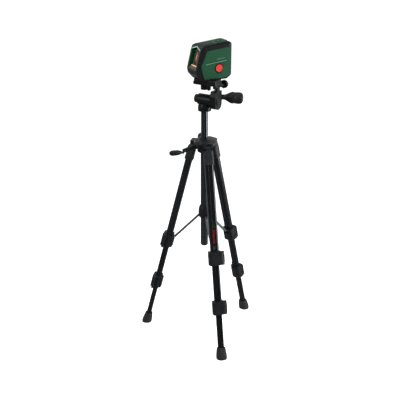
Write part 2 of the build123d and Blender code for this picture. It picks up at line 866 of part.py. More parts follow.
with BuildPart() as pan_handle:
    # stem
    with BuildSketch(handle_plane(-7.5)):
        Circle(stem_r)
    extrude(amount=19)
    for stations in (grip_neck, grip_end):
        for distance, radius in stations:
            with BuildSketch(handle_plane(distance)):
                Circle(radius)
        loft()
    # flutes along the grip
    with BuildSketch(handle_plane(26)):
        with PolarLocations(20.0, 10):
            Circle(2.6)
    extrude(amount=44, mode=Mode.SUBTRACT)
export(pan_handle, "pan_handle")

stop_z0 = 859.0
with BuildPart() as platform:
    with BuildSketch(level(plate_z0, tilt_azimuth)):
        with Locations(plate_offset):
            RectangleRounded(83, 50, 9)
    extrude(amount=8)
    with BuildSketch(level(plate_z0 + 8, tilt_azimuth)):
        with Locations(plate_offset):
            RectangleRounded(79, 46, 8)
    extrude(amount=plate_z1 - plate_z0 - 8)
    # level stop under the plate, beside the mounting screw
    with BuildSketch(level(stop_z0, tilt_azimuth)):
        with Locations((21, -7)):
            RectangleRounded(6, 13, 1.5)
    extrude(amount=plate_z0 - stop_z0 + 1)
    # hinge lugs
    for k in (-1, 1):
        with BuildSketch(side(tilt_azimuth, k * 8.9)):
            with Locations(flip_at):
                Circle(knuckle_r)
            with Locations((flip_at[0], flip_at[1] + 3)):
                Rectangle(2 * knuckle_r, 6)
        extrude(amount=10.1 * k)
    # hinge pin and mounting screw bores
    with BuildSketch(side(tilt_azimuth)):
        with Locations(flip_at):
            Circle(pin_r + run)
    extrude(amount=40, both=True, mode=Mode.SUBTRACT)
    with BuildSketch(level(860)):
        Circle(camera_screw_r + run)
    extrude(amount=40, mode=Mode.SUBTRACT)
export(platform, "platform")

with BuildPart() as flip_lock_knob:
    # pin, head and knob neck: offset from the azimuth plane, radius, length
    for start, radius, length in ((19.4, pin_r, -50), (19.2, 4.6, 1.6), (-19.2, 4.8, -19)):
        with BuildSketch(side(tilt_azimuth, start)):
            with Locations(flip_at):
                Circle(radius)
        extrude(amount=length)
    flip_knob_origin = side(tilt_azimuth, -37.5).from_local_coords((*flip_at, 0))
    with BuildSketch(Plane(origin=flip_knob_origin, x_dir=UP, z_dir=tangent(tilt_azimuth))):
        ribbed(13.6, 10, 2.8)
    extrude(amount=8.5)
export(flip_lock_knob, "flip_lock_knob")

with BuildPart() as camera_screw:
    with BuildSketch(level(858)):
        ribbed(12.5, 16, 1.5)
    extrude(amount=15)
    # collar and screw, on top of the thumbwheel
    for radius, height in ((5.5, 3.7), (camera_screw_r, 30.5)):
        with BuildSketch(level(873)):
            Circle(radius)
        extrude(amount=height)
export(camera_screw, "camera_screw")


# ---------------------------------------------------------------------------
# laser planes and outlines
# ---------------------------------------------------------------------------
def laser_side(x=0.0):
    """Side-view plane of the laser: local x to the rear (+Y), y up, normal +X."""
    return Plane(origin=AXIS + Vector(x, 0, 0), x_dir=(0, 1, 0), z_dir=(1, 0, 0))


def laser_front(y=0.0):
    """Plane facing the rear: local x is +X reversed, y up, normal +Y."""
    return Plane(origin=AXIS + Vector(0, y, 0), x_dir=(-1, 0, 0), z_dir=(0, 1, 0))


# side view of the body: y, z
body_side = [
    (-26, laser_z0), (-43.5, 912), (-46.5, 927), (-31.5, 984),
    (-26.5, 996.5), (-17.5, 1001.5), (80.5, 1010.7), (79.4, 905), (60, laser_z0),
]
# its rounded corners: y, z, radius
body_rounding = [
    (-43.5, 912, 9.0), (-46.5, 927, 9.0), (-17.5, 1001.5, 6.0),
    (80.5, 1010.7, 13.0), (79.4, 905, 6.0), (60, laser_z0, 4.0),
]
# plan view of the body: x, y
body_plan = [
    (-laser_half_w, -14), (-laser_half_w + 1.2, -32), (-31.2, -49),
    (31.2, -49), (laser_half_w - 1.2, -32), (laser_half_w, -14),
    (laser_half_w, 70), (laser_half_w - 2, 77), (laser_half_w - 7, 82),
    (-laser_half_w + 7, 82), (-laser_half_w + 2, 77), (-laser_half_w, 70),
]
# side panels: y, z, and the rounded corners with their radii
panel_outline = [
    (-8.5, 985.6), (-30.0, 938), (-18.0, 896.5), (59.0, 896.5),
    (75.4, 907.5), (76.0, 993.3),
]
panel_rounding = [
    (-8.5, 985.6, 4.0), (-30.0, 938, 9.0), (59.0, 896.5, 5.0),
    (75.4, 907.5, 5.0), (76.0, 993.3, 4.0),
]

roof_rise = 0.0942      # the roof climbs to the rear
roof_angle = radians(5.38)


def roof_plane(lift=0.0):
    """Plane along the sloping roof: x to +X, y up the slope."""
    normal = Vector(0, -sin(roof_angle), cos(roof_angle))
    return Plane(
        origin=AXIS + Vector(0, 0, 1001.5 + 17.5 * roof_rise) + normal * lift,
        x_dir=(1, 0, 0), z_dir=normal,
    )


recess_lean = 0.2576    # the window leans back with the nose
recess_z0 = 926.0


def recess_back(z, gap=0.0):
    """Where the recess's back wall stands at a height."""
    return -30.0 + recess_lean * (z - recess_z0) - gap


def recess_front(half, z0, z_side, z_peak):
    """Recess seen from the front: straight sides under a low gable."""
    Polygon((-half, z0), (half, z0), (half, z_side), (0, z_peak), (-half, z_side), align=None)


def nose_recess(gap):
    """Solid that fills the recess up to a gap all round, with a leaning back."""
    with BuildPart() as hollow:
        with BuildSketch(laser_front(-62)):
            recess_front(27.2 - gap, recess_z0 + gap, 988.0 - gap, 995.2 - gap)
        extrude(amount=60)
        with BuildSketch(laser_side()):
            with BuildLine():
                Polyline(
                    (-70, 900), (recess_back(900, gap), 900),
                    (recess_back(1010, gap), 1010), (-70, 1010), close=True,
                )
            make_face()
        extrude(amount=40, both=True, mode=Mode.INTERSECT)
    return hollow.part


# ---------------------------------------------------------------------------
# laser shell and chassis
# ---------------------------------------------------------------------------
with BuildPart() as laser_housing:
    with BuildSketch(laser_side()) as body_view:
        Polygon(*body_side, align=None)
        round_corners(body_view, body_rounding)
    extrude(amount=laser_half_w, both=True)
    with BuildSketch(level(880)):
        Polygon(*body_plan, align=None)
    extrude(amount=140, mode=Mode.INTERSECT)
    # round the long edges of the roof
    with BuildSketch(Plane(
        origin=roof_plane().from_local_coords((0, -75, 0)), x_dir=(-1, 0, 0),
        z_dir=(0, cos(roof_angle), sin(roof_angle)),
    )):
        with Locations((0, -75)):
            RectangleRounded(2 * laser_half_w, 150, 7.0)
    extrude(amount=190, mode=Mode.INTERSECT)
    # interior, open at the bottom for the base plate
    with BuildSketch(laser_side()):
        with BuildLine():
            Polyline(
                (-17, 900), (-25.5, 926), (-10, 988), (-10, 997), (66, 1004), (76, 994),
                (75.2, 909), (57, 897), (-10, 897), close=True,
            )
        make_face()
    extrude(amount=28, both=True, mode=Mode.SUBTRACT)
    with BuildSketch(level(880)):
        with Locations((0, well_y)):
            Rectangle(well_w, well_d)
    extrude(amount=20, mode=Mode.SUBTRACT)
    # window recess in the nose, and the opening behind it
    add(nose_recess(0.0), mode=Mode.SUBTRACT)
    with BuildSketch(laser_front(-40)):
        with Locations((0, 958)):
            RectangleRounded(33, 48, 4)
    extrude(amount=34, mode=Mode.SUBTRACT)
    # side panel seats
    for k in (-1, 1):
        with BuildSketch(laser_side(k * seat_x)) as seat_view:
            with BuildLine():
                Polyline(*panel_outline, close=True)
            make_face()
            round_corners(seat_view, panel_rounding)
        extrude(amount=4 * k, mode=Mode.SUBTRACT)
    # button bore, +X side
    with BuildSketch(laser_side(20)):
        with Locations(button_at):
            Circle(button_r + 0.2)
    extrude(amount=20, mode=Mode.SUBTRACT)
    # switch slot, -X side
    with BuildSketch(laser_side(-20)):
        with Locations(slot_at):
            RectangleRounded(24.4, 10.4, 2)
    extrude(amount=-20, mode=Mode.SUBTRACT)
    # battery door opening with pivot holes
    with BuildSketch(laser_front(73)):
        with Locations((0, 937.2)):
            Rectangle(38, 49.6)
    extrude(amount=12, mode=Mode.SUBTRACT)
    with BuildSketch(laser_side()):
        with Locations(door_pivot):
            Circle(door_pin_r + run)
    extrude(amount=21.2, both=True, mode=Mode.SUBTRACT)
    # display recess and upward lens seat in the roof
    with BuildSketch(roof_plane(-2.0)):
        with Locations((0, 8)):
            RectangleRounded(36, 24, 3)
    extrude(amount=6, mode=Mode.SUBTRACT)
    for lift, radius, length in ((-1.6, 9, 6), (-14, 4, 26)):
        with BuildSketch(roof_plane(lift)):
            with Locations((0, 47)):
                Circle(radius)
        extrude(amount=length, mode=Mode.SUBTRACT)
export(laser_housing, "laser_housing")

with BuildPart() as laser_chassis:
    # base plate and screw boss
    with BuildSketch(level(laser_z0)):
        with Locations((0, well_y)):
            Rectangle(well_w - 0.1, well_d - 0.1)
    extrude(amount=3.4)
    with BuildSketch(level(laser_z0 + 3)):
        Circle(8)
    extrude(amount=12)
    # posts for the gimbal
    with BuildSketch(level(laser_z0 + 3)):
        with Locations((23.6, gimbal_y), (-23.6, gimbal_y)):
            Rectangle(4.4, 11)
    extrude(amount=84)
    # battery tray wall
    with BuildSketch(level(laser_z0 + 3)):
        with Locations((0, 41.4)):
            Rectangle(34, 2.4)
    extrude(amount=30)
    # mounting screw and gimbal bores
    with BuildSketch(level(880)):
        Circle(camera_screw_r + run)
    extrude(amount=24, mode=Mode.SUBTRACT)
    with BuildSketch(laser_side()):
        with Locations((gimbal_y, gimbal_z)):
            Circle(gimbal_pin_r + run)
    extrude(amount=40, both=True, mode=Mode.SUBTRACT)
export(laser_chassis, "laser_chassis")

with BuildPart() as side_panels:
    for k in (-1, 1):
        with BuildSketch(laser_side(k * (seat_x + fit))) as panel_view:
            with BuildLine():
                Polyline(*panel_outline, close=True)
            make_face()
            offset(amount=-0.15, kind=Kind.INTERSECTION, mode=Mode.REPLACE)
            round_corners(panel_view, panel_rounding)
            # button hole on the +X panel, switch slot on the -X one
            with Locations(button_at if k > 0 else slot_at):
                if k > 0:
                    Circle(button_r + 0.5, mode=Mode.SUBTRACT)
                else:
                    RectangleRounded(25, 11, 2, mode=Mode.SUBTRACT)
        extrude(amount=2.08 * k)
export(side_panels, "side_panels")

# ---------------------------------------------------------------------------
# window
# ---------------------------------------------------------------------------
with BuildPart() as front_bezel:
    add(nose_recess(0.05))
    with BuildSketch(laser_front(-63)):
        recess_front(25.6, 929.0, 986.4, 993.2)
    extrude(amount=64, mode=Mode.SUBTRACT)
    with BuildSketch(laser_side()):
        Polygon(*body_side, align=None)
    extrude(amount=laser_half_w, both=True, mode=Mode.INTERSECT)
export(front_bezel, "front_bezel")

pane_z = 957.5
pane = Plane(
    origin=AXIS + Vector(0, recess_back(pane_z), pane_z),
    x_dir=(1, 0, 0), z_dir=(0, -1, recess_lean),
)
with BuildPart() as window_glass:
    with BuildSketch(pane.offset(0.06)):
        RectangleRounded(46.0, 55.0, 3)
    extrude(amount=2.6)
    chamfer(window_glass.faces().sort_by(Axis((0, 0, 0), pane.z_dir))[-1].edges(), 0.5)
export(window_glass, "window_glass")

with BuildPart() as sill_lens:
    with BuildSketch(laser_side()):
        with BuildLine():
            Polyline(
                (-43.0, 929.05), (-32.3, 929.05), (-30.7, 935.2),
                (-33.2, 935.2), (-43.0, 930.8), close=True,
            )
        make_face()
    extrude(amount=24.0, both=True)
export(sill_lens, "sill_lens")

# ---------------------------------------------------------------------------
# controls and battery
# ---------------------------------------------------------------------------
with BuildPart() as mode_button:
    with BuildSketch(laser_side(28.6)):
        with Locations(button_at):
            Circle(button_r)
    extrude(amount=5.9)
    # bevelled rim
    with BuildSketch(laser_side(34.5)):
        with Locations(button_at):
            Circle(button_r)
    extrude(amount=0.8, taper=45)
export(mode_button, "mode_button")

with BuildPart() as lock_switch:
    with BuildSketch(laser_side(-34.6)):
        with Locations(switch_at):
            RectangleRounded(14, 10, 2)
    extrude(amount=5.4)
    # grip ribs
    with BuildSketch(laser_side(-35.4)):
        with Locations(*((switch_at[0] + 3.5 * k, switch_at[1]) for k in (-1, 0, 1))):
            Rectangle(1.6, 8)
    extrude(amount=1.2)
export(lock_switch, "lock_switch")

with BuildPart() as battery_cover:
    with BuildSketch(laser_side()):
        with BuildLine():
            Polyline(
                (75.8, 915.2), (79.0, 915.2), (79.6, 961.8), (75.8, 961.8), close=True
            )
        make_face()
        with Locations(door_pivot):
            Circle(1.6)
    extrude(amount=18.8, both=True)
    # pivot pins
    with BuildSketch(laser_side()):
        with Locations(door_pivot):
            Circle(door_pin_r)
    extrude(amount=21.0, both=True)
    # finger notch at the top
    with BuildSketch(laser_front(78.4)):
        with Locations((0, 957)):
            RectangleRounded(14, 5, 2)
    extrude(amount=3, mode=Mode.SUBTRACT)
export(battery_cover, "battery_cover")

# four AA cells standing in a square block
cell_z0, cell_len = 911.0, 49.0
with BuildPart() as battery_cells:
    for x in (-7.4, 7.4):
        for y in (51.0, 66.0):
            # can, then terminal
            for z, radius, height in (
                (cell_z0, 7.15, cell_len), (cell_z0 + cell_len, 2.7, 1.5),
            ):
                with BuildSketch(level(z)):
                    with Locations((x, y)):
                        Circle(radius)
                extrude(amount=height)
export(battery_cells, "battery_cells")

# ---------------------------------------------------------------------------
# gimbal, pendulum and circuit board
# ---------------------------------------------------------------------------
with BuildPart() as gimbal_ring:
    with BuildSketch(level(gimbal_z - 2.5)):
        with Locations((0, gimbal_y)):
            Circle(19)
            Circle(14.5, mode=Mode.SUBTRACT)
    extrude(amount=5)
    # pins into the chassis posts
    for k in (1, -1):
        with BuildSketch(laser_side(17.5 * k)):
            with Locations((gimbal_y, gimbal_z)):
                Circle(gimbal_pin_r)
        extrude(amount=8.0 * k)
    # bore for the pendulum's pivots
    with BuildSketch(laser_front(-10)):
        with Locations((0, gimbal_z)):
            Circle(gimbal_pin_r + run)
    extrude(amount=44, mode=Mode.SUBTRACT)
export(gimbal_ring, "gimbal_ring")

with BuildPart() as pendulum:
    # head, stem and bob: bottom height, radius, height
    for z, radius, height in ((963, 9, 20), (924, 4, 40), (912, 11, 13)):
        with BuildSketch(level(z)):
            with Locations((0, gimbal_y)):
                Circle(radius)
        extrude(amount=height)
    # forward line module and its block
    with BuildSketch(laser_front(-12)):
        with Locations((0, 950)):
            Circle(6)
    extrude(amount=26)
    with BuildSketch(level(941)):
        with Locations((0, gimbal_y)):
            RectangleRounded(17, 17, 2)
    extrude(amount=18)
    # pivots into the ring
    with BuildSketch(laser_front(-5.3)):
        with Locations((0, gimbal_z)):
            Circle(gimbal_pin_r)
    extrude(amount=34.6)
export(pendulum, "pendulum")

with BuildPart() as circuit_board:
    with BuildSketch(laser_front(board_y)):
        with Locations((0, 938)):
            Rectangle(50, 78)
    extrude(amount=1.6)
    # raised blocks on the front face
    with BuildSketch(laser_front(board_y)):
        with Locations((-14, 950), (12, 962)):
            Rectangle(12, 12)
        with Locations((16, 925)):
            Rectangle(8, 18)
    extrude(amount=-2.4)
export(circuit_board, "circuit_board")
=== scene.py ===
# A box-shaped laser on a three-legged tripod with a crank-driven column and a tilting head.
# The row frame is in metres with +Z up. The laser's nose faces -Y, its battery door +Y, and
# "right" is +X. Lengths are in millimetres from the column's axis unless a comment says so.
# Azimuths are degrees counter-clockwise from +X, seen from above.
import bpy, bmesh
from math import sin, cos, radians, pi, hypot
from mathutils import Vector, Matrix


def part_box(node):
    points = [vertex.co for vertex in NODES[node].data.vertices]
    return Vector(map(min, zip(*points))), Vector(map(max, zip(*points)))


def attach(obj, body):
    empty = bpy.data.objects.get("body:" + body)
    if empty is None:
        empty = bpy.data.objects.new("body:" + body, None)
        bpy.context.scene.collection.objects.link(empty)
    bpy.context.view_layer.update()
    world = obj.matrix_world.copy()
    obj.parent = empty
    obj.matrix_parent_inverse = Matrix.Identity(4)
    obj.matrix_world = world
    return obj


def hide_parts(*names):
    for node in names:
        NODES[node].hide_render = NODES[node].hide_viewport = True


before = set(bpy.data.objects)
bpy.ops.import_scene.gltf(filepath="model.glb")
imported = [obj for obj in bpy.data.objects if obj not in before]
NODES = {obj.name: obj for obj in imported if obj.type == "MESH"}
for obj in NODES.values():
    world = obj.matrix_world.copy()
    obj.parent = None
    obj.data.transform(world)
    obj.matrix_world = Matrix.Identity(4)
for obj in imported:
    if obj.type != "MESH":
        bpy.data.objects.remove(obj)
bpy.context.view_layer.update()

# ---------------------------------------------------------------------------
# layout
# ---------------------------------------------------------------------------
column_low, column_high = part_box("column_tube")
AXIS_X = (column_low[0] + column_high[0]) / 2
AXIS_Y = (column_low[1] + column_high[1]) / 2
UP = Vector((0, 0, 1))

LEG_AZIMUTH = {"a": -12.0, "b": 108.0, "c": 228.0}
LEG_SPLAY = radians(14.3)
HINGE_RADIUS, HINGE_HEIGHT = 37.0, 675.0
LEG_SHIFT = 1.3  # leg sections sit this far outside the hinge pin's line
HEAD_AZIMUTH = 31.0
CRANK_AZIMUTH = 258.0


def place(x, y, z):
    """Point in the row frame, in metres."""
    return Vector((AXIS_X + x / 1000, AXIS_Y + y / 1000, z / 1000))


def outward(azimuth):
    return Vector((cos(radians(azimuth)), sin(radians(azimuth)), 0))


def around(azimuth):
    """Counter-clockwise tangent."""
    return Vector((-sin(radians(azimuth)), cos(radians(azimuth)), 0))


def leg_axes(azimuth):
    """Hinge point in metres, then the directions down, out of and across the leg."""
    out_flat = outward(azimuth)
    down = out_flat * sin(LEG_SPLAY) - UP * cos(LEG_SPLAY)
    out = out_flat * cos(LEG_SPLAY) + UP * sin(LEG_SPLAY)
    hinge = place(*(out_flat * HINGE_RADIUS + UP * HINGE_HEIGHT))
    return hinge, down, out, around(azimuth)


def frame_at(origin, x_dir, y_dir, z_dir):
    """Matrix from local millimetres to the row frame in metres."""
    matrix = Matrix.Identity(4)
    for i, direction in enumerate((x_dir, y_dir, z_dir)):
        for row, value in enumerate(Vector(direction).normalized() / 1000):
            matrix[row][i] = value
        matrix[i][3] = origin[i]
    return matrix


def axis_frame(azimuth, out, height, left=0.0):
    """z along the azimuth, x to its left, y up."""
    point = outward(azimuth) * out + around(azimuth) * left + UP * height
    return frame_at(place(*point), around(azimuth), UP, outward(azimuth))


def up_frame(height=0.0, azimuth=0.0):
    """z up from the column's axis, x along the azimuth."""
    return frame_at(place(0, 0, height), outward(azimuth), around(azimuth), UP)


# ---------------------------------------------------------------------------
# shader graph tools (lengths in metres)
# ---------------------------------------------------------------------------
class Graph:
    """Node tree of a material or world: one shader on the output, plus coordinates."""

    def __init__(self, owner, shader="BsdfPrincipled", output="OutputMaterial"):
        self.owner = owner
        owner.use_nodes = True
        self.tree = owner.node_tree
        self.tree.nodes.clear()
        out = self.node(output)
        self.shader = self.node(shader)
        self.put(out, "Surface", self.shader.outputs[0])
        self.coord = self.node("TexCoord")

    def put(self, node, key, value):
        """Link a socket to an input, or set the input's value."""
        if isinstance(value, bpy.types.NodeSocket):
            self.tree.links.new(value, node.inputs[key])
        else:
            node.inputs[key].default_value = value

    def node(self, kind, inputs=None, **props):
        made = self.tree.nodes.new("ShaderNode" + kind)
        for key, value in props.items():
            setattr(made, key, value)
        for key, value in (inputs or {}).items():
            self.put(made, key, value)
        return made

    def shade(self, inputs):
        for key, value in inputs.items():
            self.put(self.shader, key, value)

    def noise(self, scale, detail, rough, vector=None, distort=0.0):
        return self.node("TexNoise", {
            "Scale": scale, "Detail": detail, "Roughness": rough, "Distortion": distort,
            "Vector": vector or self.coord.outputs["Object"]}).outputs["Fac"]

    def remap(self, value, source, target=(0.0, 1.0)):
        return self.node("MapRange", {
            "From Min": source[0], "From Max": source[1],
            "To Min": target[0], "To Max": target[1], "Value": value}).outputs["Result"]

    def mix(self, factor, a, b):
        """Colour mix; inputs 6 and 7 and output 2 are the node's colour sockets."""
        a, b = ((*c, 1) if isinstance(c, tuple) else c for c in (a, b))
        return self.node("Mix", {0: factor, 6: a, 7: b}, data_type="RGBA").outputs[2]

    def mix_value(self, factor, a, b):
        """Number mix; inputs 2 and 3 are the node's number sockets."""
        return self.node("Mix", {0: factor, 2: a, 3: b}, data_type="FLOAT").outputs[0]

    def math(self, operation, a, b=0.0):
        return self.node("Math", {0: a, 1: b}, operation=operation).outputs[0]

    def dot(self, a, b):
        return self.node("VectorMath", {0: a, 1: b}, operation="DOT_PRODUCT").outputs["Value"]

    def rounded_normal(self, radius):
        return self.node("Bevel", {"Radius": radius}, samples=6).outputs["Normal"]

    def edges(self, radius):
        """Mask of worn edges, and the rounded normal they share."""
        normal = self.rounded_normal(radius)
        match = self.dot(normal, self.node("NewGeometry").outputs["Normal"])
        return self.remap(match, (0.99, 0.80)), normal

    def bump(self, height, strength, distance, normal):
        return self.node("Bump", {
            "Strength": strength, "Distance": distance,
            "Height": height, "Normal": normal}).outputs["Normal"]


def tone(base, factor, lift=0.0):
    """Colour scaled and lifted, held at white."""
    return tuple(min(1.0, c * factor + lift) for c in base)


def material_graph(name):
    return Graph(bpy.data.materials.new(name))


# ---------------------------------------------------------------------------
# material families
# ---------------------------------------------------------------------------
def moulded(name, base, rough, rough_var=0.10, grain=1400.0, grain_depth=0.00006,
            wear=0.30, drift=0.16, spec=0.22):
    """Moulded plastic: fine spark texture, slow colour drift, paler rubbed edges."""
    g = material_graph(name)
    slow = g.noise(scale=24.0, detail=4.0, rough=0.6)
    fine = g.noise(scale=grain, detail=2.0, rough=0.6)
    smear = g.noise(scale=90.0, detail=5.0, rough=0.65, distort=0.8)
    edge, normal = g.edges(radius=0.0009)
    colour = g.mix(g.remap(slow, (0.35, 0.65)), tone(base, 1 - drift),
                   tone(base, 1 + drift, lift=0.002))
    patch = g.remap(smear, (0.40, 0.62), (0.15, 1.0))
    rubbed = g.math("MULTIPLY", g.math("MULTIPLY", edge, patch), wear)
    g.shade({
        "Base Color": g.mix(rubbed, colour, tone(base, 1.6, lift=0.030)),
        "Roughness": g.remap(smear, (0.3, 0.7), (rough - rough_var, rough + rough_var)),
        "Specular IOR Level": spec,
        "Coat Roughness": 0.18,
        "Normal": g.bump(fine, strength=0.55, distance=grain_depth, normal=normal)})
    return g.owner


def rubber(name, base, rough=0.72):
    """Rubber: matt, with dusty patches and paler edges, slightly pebbled."""
    g = material_graph(name)
    dust = g.noise(scale=60.0, detail=5.0, rough=0.6)
    fine = g.noise(scale=900.0, detail=3.0, rough=0.6)
    edge, normal = g.edges(radius=0.0012)
    colour = g.mix(g.remap(dust, (0.45, 0.75), (0, 0.35)), base, tone(base, 1.8, lift=0.012))
    g.shade({
        "Base Color": g.mix(g.math("MULTIPLY", edge, 0.35), colour, tone(base, 1.7, lift=0.02)),
        "Roughness": g.remap(dust, (0.3, 0.7), (rough - 0.1, rough + 0.12)),
        "Specular IOR Level": 0.35,
        "Normal": g.bump(fine, strength=0.6, distance=0.00012, normal=normal)})
    return g.owner


def metal(name, base, rough, direction=None, metallic=1.0, scratch=0.35):
    """Drawn or machined metal: fine lines along one direction, light scratches."""
    g = material_graph(name)
    along = None
    if direction is not None:
        turn = Vector(direction).normalized().rotation_difference(UP)
        turned = g.node("Mapping", {
            "Rotation": turn.to_matrix().to_euler("XYZ"), "Vector": g.coord.outputs["Object"]})
        # squeezing z draws the noise out into lines
        along = g.node("Mapping", {
            "Scale": (1, 1, 0.012), "Vector": turned.outputs["Vector"]}).outputs["Vector"]
    line = g.noise(scale=2600.0, detail=2.0, rough=0.7, vector=along)
    slow = g.noise(scale=18.0, detail=3.0, rough=0.5)
    nick = g.noise(scale=420.0, detail=6.0, rough=0.7, distort=1.5)
    edge, normal = g.edges(radius=0.0007)
    colour = g.mix(g.remap(slow, (0.35, 0.65)), tone(base, 0.88), tone(base, 1.12))
    rub = g.math("MULTIPLY", edge, g.remap(nick, (0.45, 0.62), (0.0, scratch)))
    g.shade({
        "Base Color": g.mix(rub, colour, tone(base, 1.7, lift=0.05)),
        "Metallic": metallic,
        "Roughness": g.remap(line, (0.3, 0.7), (rough - 0.06, rough + 0.08)),
        "Normal": g.bump(line, strength=0.25, distance=0.00002, normal=normal)})
    return g.owner


def painted_glint(g, spot):
    """Painted highlight on the glass: an upright bright core in a wide faint veil, round a point
    in object coordinates.
    """
    position = g.node("SeparateXYZ", {"Vector": g.coord.outputs["Object"]})
    across = g.math("ABSOLUTE", g.math("SUBTRACT", position.outputs["X"], spot.x))
    upward = g.math("ABSOLUTE", g.math("SUBTRACT", position.outputs["Z"], spot.z))
    core = g.math("MULTIPLY", g.remap(across, (0.0012, 0.0048), (1, 0)),
                  g.remap(upward, (0.004, 0.018), (1, 0)))
    veil = g.math("MULTIPLY", g.remap(across, (0.004, 0.014), (0.035, 0.006)),
                  g.remap(upward, (0.010, 0.030), (1, 0.4)))
    core_strength = 0.62
    return g.math("ADD", g.math("MULTIPLY", core, core_strength), veil)


def tinted_glass(name, base, spot=None):
    """Dark tinted window: glossy face over a deep colour, with a painted sheen that lightens the
    colour where the face is seen edge-on.
    """
    g = material_graph(name)
    slant = g.node("LayerWeight", {"Blend": 0.35}).outputs["Facing"]
    haze = g.noise(scale=120.0, detail=4.0, rough=0.6)
    g.shade({
        # painted sheen: the base colour lightens where the face turns away from the view
        "Base Color": g.mix(slant, base, tone(base, 2.4, lift=0.02)),
        "Roughness": g.remap(haze, (0.3, 0.75), (0.06, 0.15)),
        "Coat Weight": 1.0,
        "Coat Roughness": 0.03,
        "Transmission Weight": 0.25,
        "Specular IOR Level": 0.8,
        "Normal": g.bump(haze, strength=0.08, distance=0.00003,
                         normal=g.rounded_normal(radius=0.0006))})
    # painted highlight: a pink streak emitted by the glass round the given point, in place of a
    # reflection
    if spot is not None:
        g.shade({"Emission Color": (1.0, 0.36, 0.32, 1), "Emission Strength": painted_glint(g, spot)})
    return g.owner


def painted_glow(name, base, glow, strength):
    """Frosted lens with a painted glow: it emits light though no lamp is behind it."""
    g = material_graph(name)
    haze = g.noise(scale=300.0, detail=3.0, rough=0.6)
    g.shade({
        "Base Color": g.mix(g.remap(haze, (0.3, 0.7)), tone(base, 0.85), base),
        "Roughness": 0.3,
        "Emission Color": (*glow, 1),
        "Emission Strength": g.remap(haze, (0.3, 0.7), (strength * 0.8, strength * 1.2)),
        "Normal": g.bump(haze, strength=0.3, distance=0.00005,
                         normal=g.rounded_normal(radius=0.0008))})
    return g.owner


# ---------------------------------------------------------------------------
# materials, and the pieces that wear them
# ---------------------------------------------------------------------------
# centre of the window's painted highlight streak, in the glass's object coordinates
painted_glint_centre = NODES["window_glass"].matrix_world.inverted() @ place(-9.0, -24.0, 962.0)

MATERIALS = {
    "shoulder": moulded("moulded_shoulder", base=(0.021, 0.0225, 0.0255), rough=0.34, wear=0.35),
    "socket": moulded("moulded_socket", base=(0.028, 0.030, 0.034), rough=0.40, wear=0.35),
    "clamp": moulded("moulded_clamp", base=(0.0185, 0.0201, 0.0228), rough=0.38),
    "lever": moulded("moulded_lever", base=(0.0190, 0.0205, 0.0230), rough=0.32,
                     grain_depth=0.00003),
    "head": moulded("moulded_head", base=(0.0085, 0.0092, 0.0105), rough=0.32,
                    rough_var=0.04, wear=0.15),
    "knob": moulded("moulded_knob", base=(0.0065, 0.007, 0.0078), rough=0.46, grain=1100),
    "grip": rubber("rubber_grip", base=(0.0075, 0.008, 0.009), rough=0.55),
    "foot": rubber("rubber_foot", base=(0.030, 0.0315, 0.035)),
    "hub": moulded("moulded_hub", base=(0.016, 0.017, 0.019), rough=0.38),
    "shell": moulded("moulded_shell", base=(0.0055, 0.0066, 0.0086), rough=0.44,
                     grain=1600, wear=0.22, spec=0.17),
    "green": moulded("moulded_green", base=(0.0045, 0.088, 0.034), rough=0.46,
                     grain=1800, wear=0.22, drift=0.10),
    # paler copy of the panel green: a painted highlight for the lip over the nose
    "green_highlight": moulded("moulded_green_highlight", base=(0.500, 0.740, 0.590), rough=0.30,
                         grain=1800, wear=0.4, drift=0.06),
    # lighter copy of the panel green: painted light on the nose's side edges and the window mask
    "green_lit": moulded("moulded_green_lit", base=(0.022, 0.150, 0.070), rough=0.36,
                         grain=1800, wear=0.4, drift=0.08),
    "red": moulded("silicone_red", base=(0.90, 0.060, 0.048), rough=0.38,
                   grain=1500, wear=0.25, drift=0.06),
    "window": tinted_glass("window_tint", base=(0.075, 0.010, 0.009), spot=painted_glint_centre),
    "lens": tinted_glass("lens_tint", base=(0.050, 0.010, 0.010)),
    "display": moulded("display_tint", base=(0.0035, 0.0045, 0.006), rough=0.34,
                       rough_var=0.03, spec=0.2, wear=0.1, grain_depth=0.00001),
    # painted glow on the sill lens: faint orange emission standing in for light on it
    "sill": painted_glow("sill_lens_painted_glow", base=(0.22, 0.085, 0.055), glow=(1.0, 0.36, 0.20),
                    strength=0.05),
    # painted highlight: pale emitting line along the sill's rear edge
    "sill_line": painted_glow("sill_line_painted_highlight", base=(0.85, 0.60, 0.48), glow=(1.0, 0.62, 0.46),
                         strength=0.75),
    "steel": metal("zinc_steel", base=(0.42, 0.43, 0.45), rough=0.30),
    "dark_steel": metal("blackened_steel", base=(0.045, 0.047, 0.050), rough=0.38),
    "rivet": metal("bright_rivet", base=(0.80, 0.80, 0.82), rough=0.22),
    "brass": metal("turned_brass", base=(0.62, 0.42, 0.16), rough=0.26),
    "alu": metal("turned_aluminium", base=(0.72, 0.72, 0.74), rough=0.26),
    "column": metal("anodised_column", base=(0.085, 0.089, 0.098), rough=0.17,
                    direction=UP, metallic=0.80, scratch=0.25),
    "rack": moulded("nylon_rack", base=(0.016, 0.017, 0.018), rough=0.35),
    "cell": moulded("cell_wrap", base=(0.05, 0.05, 0.055), rough=0.25),
    "board": moulded("board_mask", base=(0.01, 0.09, 0.03), rough=0.3),
    "stripe": moulded("printed_grey", base=(0.22, 0.42, 0.31), rough=0.38, wear=0.1),
    "label_red": moulded("label_red", base=(0.42, 0.022, 0.020), rough=0.34,
                         wear=0.12, drift=0.06),
    "label_green": moulded("label_green", base=(0.008, 0.10, 0.035), rough=0.34, wear=0.12),
    "label_grey": moulded("label_grey", base=(0.22, 0.23, 0.24), rough=0.34, wear=0.12),
    "pad": rubber("rubber_pad", base=(0.018, 0.018, 0.019), rough=0.7),
    "tick": moulded("printed_grey_tick", base=(0.11, 0.112, 0.115), rough=0.5, wear=0.1),
    "dark_gap": moulded("seal_black", base=(0.004, 0.004, 0.0045), rough=0.6, wear=0.05),
}
